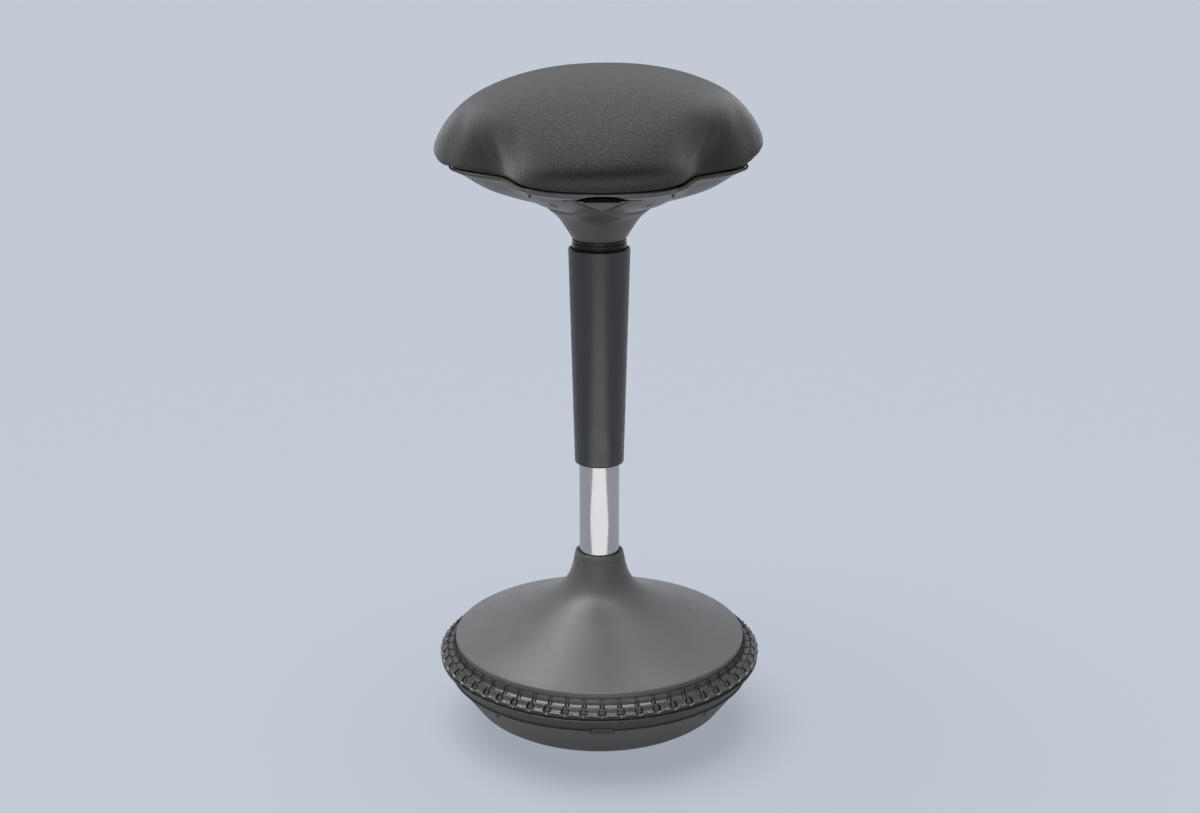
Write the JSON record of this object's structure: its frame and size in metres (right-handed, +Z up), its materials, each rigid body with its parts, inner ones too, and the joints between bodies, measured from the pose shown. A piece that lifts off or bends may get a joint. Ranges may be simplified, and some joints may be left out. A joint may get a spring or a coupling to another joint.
{
  "type": "wobble stool",
  "caption": "Height-adjustable wobble stool: three-lobed padded seat on a gas spring, over a weighted round base that rocks on its rounded bottom.",
  "frame": {"origin": "on the floor, at the middle of the foot pad and on the axis of the column", "axes": "+Z up along the column, -Y towards the front lobe of the seat with its finger recess, +X to the right of a viewer who faces the front"},
  "size_m": [0.4056, 0.4251, 0.834],
  "materials": {
    "seat_fabric": "charcoal knit",
    "welt_fabric": "grey piping",
    "shell_plastic": "fine satin",
    "cover_plastic": "fine textured",
    "black_plastic": "satin black",
    "ring_rubber": "soft matte",
    "bowl_rubber": "matte",
    "pad_rubber": "matte black",
    "chrome": "polished",
    "steel": "zinc plated",
    "black_steel": "satin black",
    "cast_iron": "black primed",
    "plywood": "raw plywood",
    "acetal": "natural"
  },
  "bodies": {
    "base": {"foot_pad": "pad_rubber", "lower_bowl": "bowl_rubber", "base_chassis": "black_plastic", "grip_ring": "ring_rubber", "base_cover": "cover_plastic", "ballast_plate": "cast_iron", "ballast_bolt_1": "steel", "ballast_bolt_2": "steel", "ballast_bolt_3": "steel", "bowl_screw_1": "steel", "bowl_screw_2": "steel", "bowl_screw_3": "steel", "bowl_screw_4": "steel", "cover_screw_1": "steel", "cover_screw_2": "steel", "cover_screw_3": "steel", "guide_tube": "chrome", "guide_bushing": "acetal", "tube_end_plate": "steel", "bearing_lower_race": "steel", "bearing_cage": "steel", "base_collar": "black_plastic"},
    "rod": {"piston_rod": "chrome", "rod_clip": "steel", "bearing_upper_race": "steel", "bump_stop": "pad_rubber", "piston_head": "acetal"},
    "seat": {"gas_cylinder": "black_steel", "rod_seal": "pad_rubber", "cover_sleeve": "black_plastic", "sleeve_bushing": "acetal", "sleeve_collar": "black_plastic", "seat_cushion": "seat_fabric", "cushion_welt": "welt_fabric", "front_trim": "shell_plastic", "finger_scoop": "shell_plastic", "seat_shell": "shell_plastic", "seat_board": "plywood", "shell_screw_1": "steel", "shell_screw_2": "steel", "shell_screw_3": "steel", "shell_screw_4": "steel", "shell_screw_5": "steel", "shell_screw_6": "steel", "mount_channel": "steel", "taper_hub": "steel", "mount_bolt_1": "steel", "mount_bolt_2": "steel", "mount_bolt_3": "steel", "mount_bolt_4": "steel", "tee_nut_1": "steel", "tee_nut_2": "steel", "tee_nut_3": "steel", "tee_nut_4": "steel", "lever_pin": "steel"},
    "lever": {"release_lever": "black_plastic"},
    "button": {"valve_button": "acetal"}
  },
  "joints": [
    {"name": "seat_swivel", "type": "hinge", "parent": "base", "child": "rod", "pos_m": [0, 0, 0.05], "axis": [0, 0, 1], "continuous": true},
    {"name": "height_lift", "type": "slide", "parent": "rod", "child": "seat", "axis": [0, 0, 1], "range_m": [-0.11, 0.01]},
    {"name": "lever_lift", "type": "hinge", "parent": "seat", "child": "lever", "pos_m": [0, -0.03, 0.6833], "axis": [-1, 0, 0], "range_deg": [0, 2.2], "stiffness_Nm_per_rad": 1.2, "springref_deg": -6.88},
    {"name": "button_press", "type": "slide", "parent": "seat", "child": "button", "axis": [0, 0, -1], "range_m": [0, 0.0012]}
  ],
  "couplings": [
    {"joint": "button_press", "follows": "lever_lift", "m_per_rad": 0.03}
  ]
}
